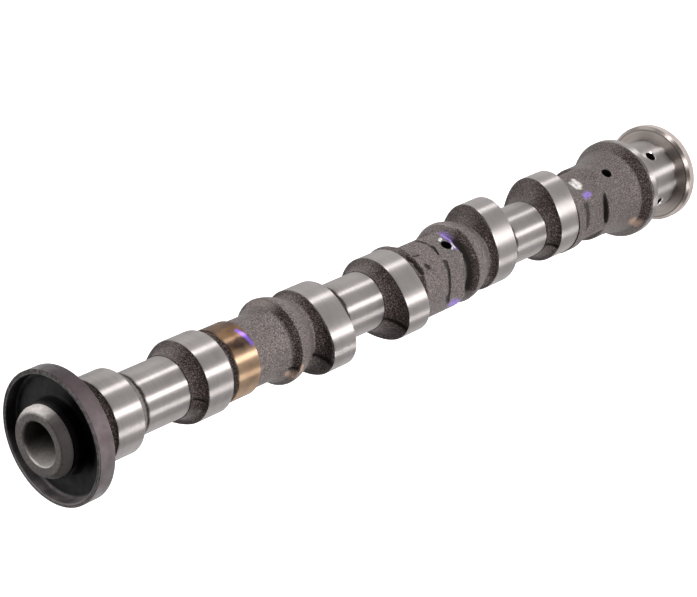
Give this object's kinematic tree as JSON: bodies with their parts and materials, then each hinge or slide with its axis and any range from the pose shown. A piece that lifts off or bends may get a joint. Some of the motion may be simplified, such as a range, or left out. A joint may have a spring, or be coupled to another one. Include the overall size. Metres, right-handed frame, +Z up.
{
  "type": "camshaft",
  "caption": "Cast camshaft for one bank of a V engine, with ground lobes and journals, wrench flats, an end flange and a pressed target cup on the nose.",
  "frame": {"origin": "centre of the end face of the flange, on the shaft axis", "axes": "+Z up the shaft axis toward the nose and the target cup; +Y toward the tips of the lobe pair next to the nose"},
  "size_m": [0.05, 0.05, 0.3712],
  "materials": {
    "shaft_iron": "as-cast skin with ground lobes and journals",
    "cup_steel": "dark satin",
    "ring_magnet": "dark satin"
  },
  "bodies": {
    "root": {"camshaft": "shaft_iron", "target_cup": "cup_steel", "target_ring": "ring_magnet"}
  },
  "joints": []
}
